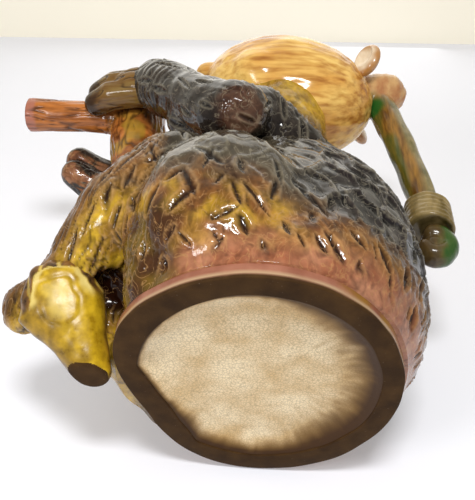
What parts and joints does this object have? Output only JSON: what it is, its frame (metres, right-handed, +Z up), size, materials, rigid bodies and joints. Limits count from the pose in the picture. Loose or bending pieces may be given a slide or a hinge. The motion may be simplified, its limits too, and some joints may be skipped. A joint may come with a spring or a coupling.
{
  "type": "bear jug",
  "caption": "Glazed earthenware jug modelled as a seated bear with crossed ankles that holds a lopped branch, with an open mouth as spout and a twig handle.",
  "frame": {"origin": "under the middle of the bounding box, on the plane that the foot ring stands on", "axes": "+Z up; the bear faces -Y and its left side is +X"},
  "size_m": [0.132, 0.2068, 0.2166],
  "materials": {
    "bare_clay": "unglazed, brown, matt",
    "cream_glaze": "crazed cream glaze, semi-gloss",
    "brown_fur_glaze": "gloss, mottled grey, amber and terracotta",
    "grey_fur_glaze": "gloss, grey-black over brown",
    "honey_glaze": "gloss, brushed honey gold",
    "yellow_glaze": "gloss, yellow-green over brown",
    "ear_glaze": "gloss, cream with a tan edge",
    "branch_glaze": "gloss, orange-brown, streaked",
    "olive_glaze": "gloss, olive brown with green pools",
    "black_glaze": "gloss black-brown"
  },
  "bodies": {
    "root": {"foot_ring": "bare_clay", "base_bat": "cream_glaze", "body_vessel": "brown_fur_glaze", "left_haunch": "brown_fur_glaze", "right_haunch": "brown_fur_glaze", "left_shin": "brown_fur_glaze", "right_shin": "brown_fur_glaze", "left_foot": "brown_fur_glaze", "left_arm": "grey_fur_glaze", "right_arm": "grey_fur_glaze", "right_forepaw": "grey_fur_glaze", "head_shell": "honey_glaze", "muzzle": "honey_glaze", "lower_jaw": "honey_glaze", "left_forepaw": "honey_glaze", "right_foot": "yellow_glaze", "left_ear": "ear_glaze", "right_ear": "ear_glaze", "branch": "branch_glaze", "handle": "olive_glaze", "handle_binding": "olive_glaze", "handle_scroll": "olive_glaze", "nose": "black_glaze", "left_eye": "black_glaze", "right_eye": "black_glaze"}
  },
  "joints": []
}
